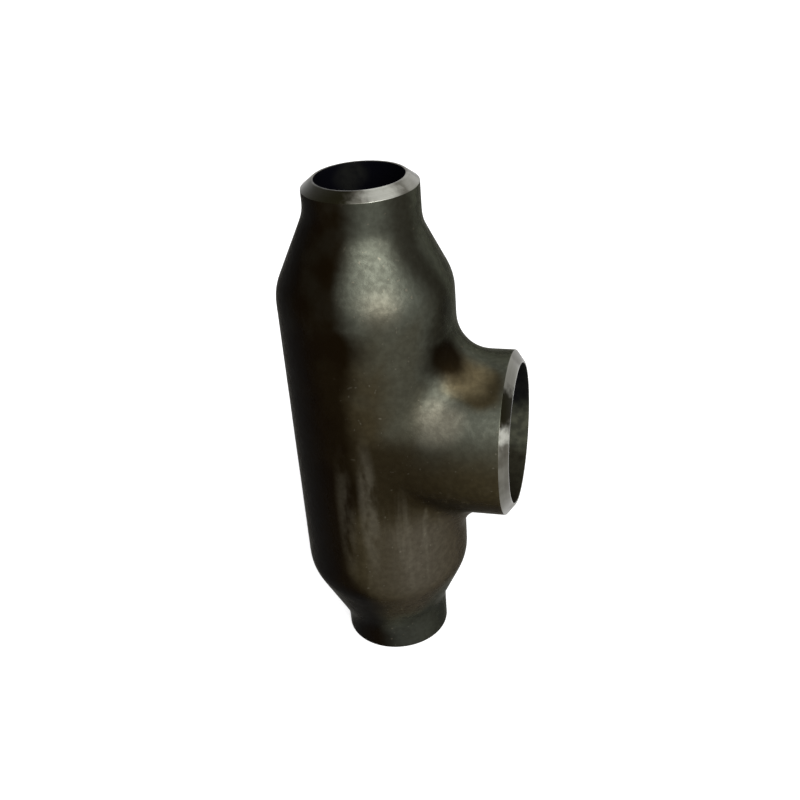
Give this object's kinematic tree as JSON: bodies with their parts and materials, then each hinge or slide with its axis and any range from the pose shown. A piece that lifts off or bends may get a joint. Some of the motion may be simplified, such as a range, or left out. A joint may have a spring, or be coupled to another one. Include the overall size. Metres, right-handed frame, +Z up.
{
  "type": "reducing tee",
  "caption": "Butt-weld pipe tee: a fat upright body drawn down to a small neck at each run end, with a larger side branch and bevelled ends.",
  "frame": {"origin": "where the run axis, through both necks, meets the branch axis", "axes": "+Z up along the run axis, +X out along the branch, +Y to the side by the right-hand rule"},
  "size_m": [0.1603, 0.119, 0.362],
  "materials": {
    "forged_steel": "dark mill scale, satin, with ground bare-metal weld bevels"
  },
  "bodies": {
    "root": {"tee_body": "forged_steel"}
  },
  "joints": []
}
